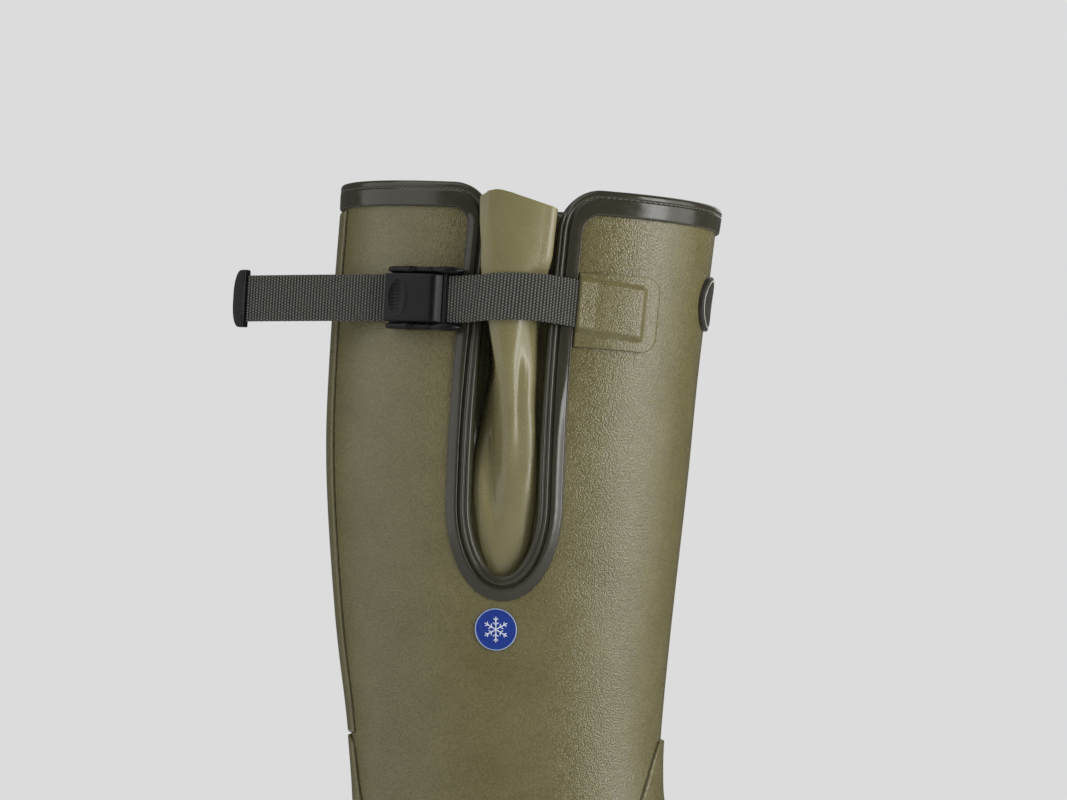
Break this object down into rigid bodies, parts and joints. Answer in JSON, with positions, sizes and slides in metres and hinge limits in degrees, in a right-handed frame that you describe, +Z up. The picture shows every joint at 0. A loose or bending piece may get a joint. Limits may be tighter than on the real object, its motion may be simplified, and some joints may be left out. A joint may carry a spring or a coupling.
{
  "type": "neoprene-lined wellington boot",
  "caption": "Tall olive rubber wellington boot for the right foot, neoprene lined, with a pleated side gusset, webbing strap, cam buckle and lugged sole.",
  "frame": {"origin": "on the floor under the middle of the heel, at the centre of the middle heel bar", "axes": "+X from heel to toe, +Y to the inner side of the foot, +Z up the shaft"},
  "size_m": [0.3466, 0.1242, 0.4218],
  "materials": {
    "olive_rubber": "satin, fine leather grain",
    "olive_overlay_rubber": "satin",
    "gusset_rubber": "smooth satin",
    "dark_olive_edging": "smooth satin",
    "dark_sole_rubber": "matt",
    "insole_felt": "matt",
    "grey_webbing": "ribbed weave",
    "black_plastic": "satin",
    "blue_label": "satin"
  },
  "bodies": {
    "root": {"outsole": "dark_sole_rubber", "insole": "insole_felt", "upper": "olive_rubber", "vamp_guard": "olive_overlay_rubber", "heel_counter": "olive_overlay_rubber", "back_strip": "olive_overlay_rubber", "gusset": "gusset_rubber", "binding": "dark_olive_edging", "strap": "grey_webbing", "strap_tip": "black_plastic", "strap_patch": "olive_overlay_rubber", "buckle_frame": "black_plastic", "buckle_lever": "black_plastic", "front_badge": "dark_olive_edging", "cold_label": "blue_label"}
  },
  "joints": []
}
